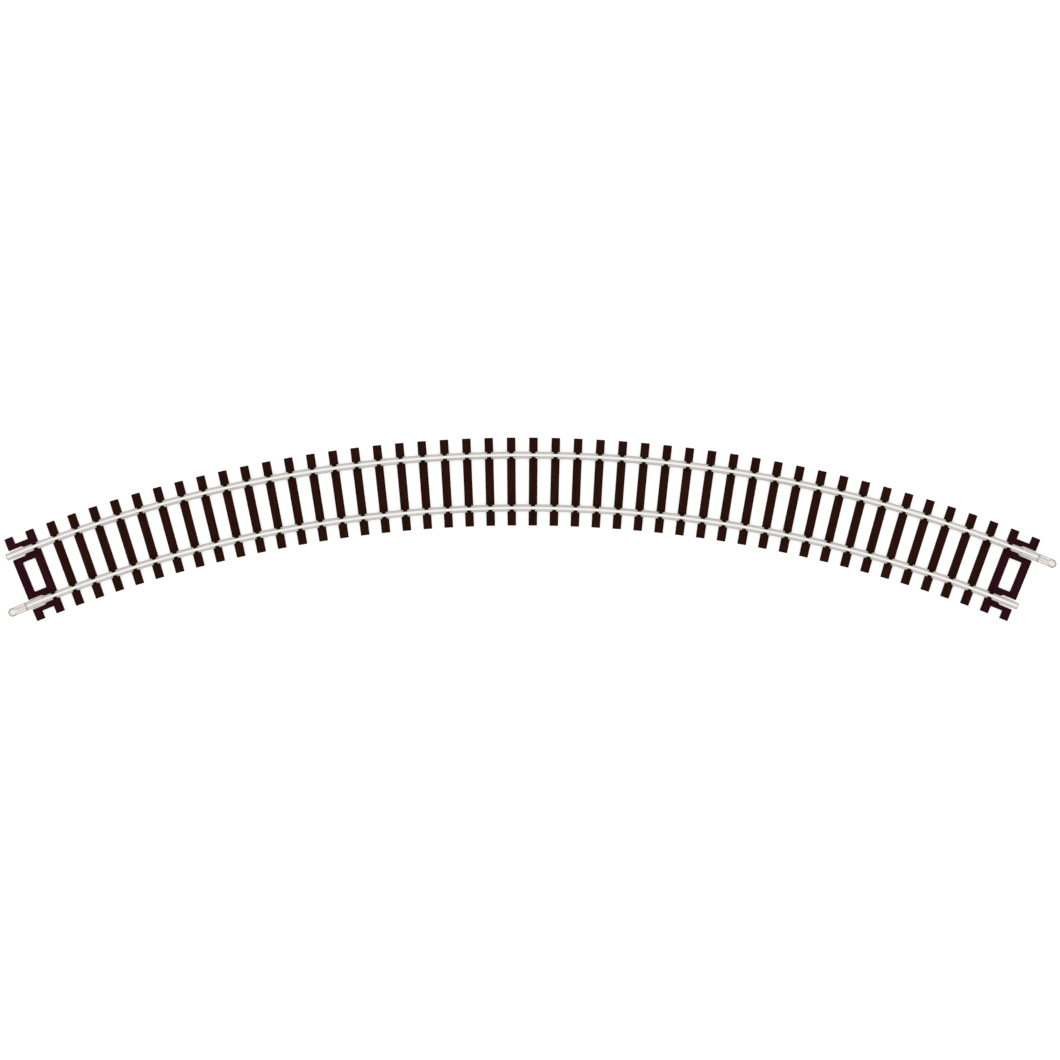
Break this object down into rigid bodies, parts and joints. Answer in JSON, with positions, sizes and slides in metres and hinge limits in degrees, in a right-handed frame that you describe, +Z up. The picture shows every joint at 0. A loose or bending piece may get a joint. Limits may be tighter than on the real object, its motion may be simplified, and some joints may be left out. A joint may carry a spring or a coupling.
{
  "type": "model railway track section",
  "caption": "Curved section of model railway track: metal rails clipped to dark plastic sleepers, open end bases with slots, and a sliding rail joiner at each end.",
  "frame": {"origin": "middle of the whole section's box, in the plane that its sleepers stand on", "axes": "+X along the chord, towards the end whose joiner is on the outer rail; +Y away from the centre of the curve; +Z up from the baseboard"},
  "size_m": [0.349, 0.061, 0.0048],
  "materials": {
    "rail_metal": "drawn bright metal, polished on top of the head",
    "joiner_metal": "folded sheet, satin, slightly brown along the folds",
    "sleeper_plastic": "dark brown moulded plastic with fine wood grain, matt",
    "end_base_plastic": "dark purple brown moulded plastic with fine wood grain, matt"
  },
  "bodies": {
    "track": {"outer_rail": "rail_metal", "inner_rail": "rail_metal", "end_base_left": "end_base_plastic", "end_base_right": "end_base_plastic", "outer_web_links": "sleeper_plastic", "inner_web_links": "sleeper_plastic", "sleeper_01": "sleeper_plastic", "sleeper_02": "sleeper_plastic", "sleeper_03": "sleeper_plastic", "sleeper_04": "sleeper_plastic", "sleeper_05": "sleeper_plastic", "sleeper_06": "sleeper_plastic", "sleeper_07": "sleeper_plastic", "sleeper_08": "sleeper_plastic", "sleeper_09": "sleeper_plastic", "sleeper_10": "sleeper_plastic", "sleeper_11": "sleeper_plastic", "sleeper_12": "sleeper_plastic", "sleeper_13": "sleeper_plastic", "sleeper_14": "sleeper_plastic", "sleeper_15": "sleeper_plastic", "sleeper_16": "sleeper_plastic", "sleeper_17": "sleeper_plastic", "sleeper_18": "sleeper_plastic", "sleeper_19": "sleeper_plastic", "sleeper_20": "sleeper_plastic", "sleeper_21": "sleeper_plastic", "sleeper_22": "sleeper_plastic", "sleeper_23": "sleeper_plastic", "sleeper_24": "sleeper_plastic", "sleeper_25": "sleeper_plastic", "sleeper_26": "sleeper_plastic", "sleeper_27": "sleeper_plastic", "sleeper_28": "sleeper_plastic", "sleeper_29": "sleeper_plastic", "sleeper_30": "sleeper_plastic", "sleeper_31": "sleeper_plastic", "sleeper_32": "sleeper_plastic", "sleeper_33": "sleeper_plastic", "sleeper_34": "sleeper_plastic", "sleeper_35": "sleeper_plastic", "sleeper_36": "sleeper_plastic", "sleeper_37": "sleeper_plastic", "sleeper_38": "sleeper_plastic", "sleeper_39": "sleeper_plastic", "sleeper_40": "sleeper_plastic", "sleeper_41": "sleeper_plastic", "sleeper_42": "sleeper_plastic", "sleeper_43": "sleeper_plastic", "sleeper_44": "sleeper_plastic"},
    "joiner_left": {"rail_joiner_left": "joiner_metal"},
    "joiner_right": {"rail_joiner_right": "joiner_metal"}
  },
  "joints": [
    {"name": "joiner_left_slide", "type": "slide", "parent": "track", "child": "joiner_left", "axis": [-0.9239, -0.3827, 0], "range_m": [0, 0.0055]},
    {"name": "joiner_right_slide", "type": "slide", "parent": "track", "child": "joiner_right", "axis": [0.9239, -0.3827, 0], "range_m": [0, 0.0055]}
  ]
}
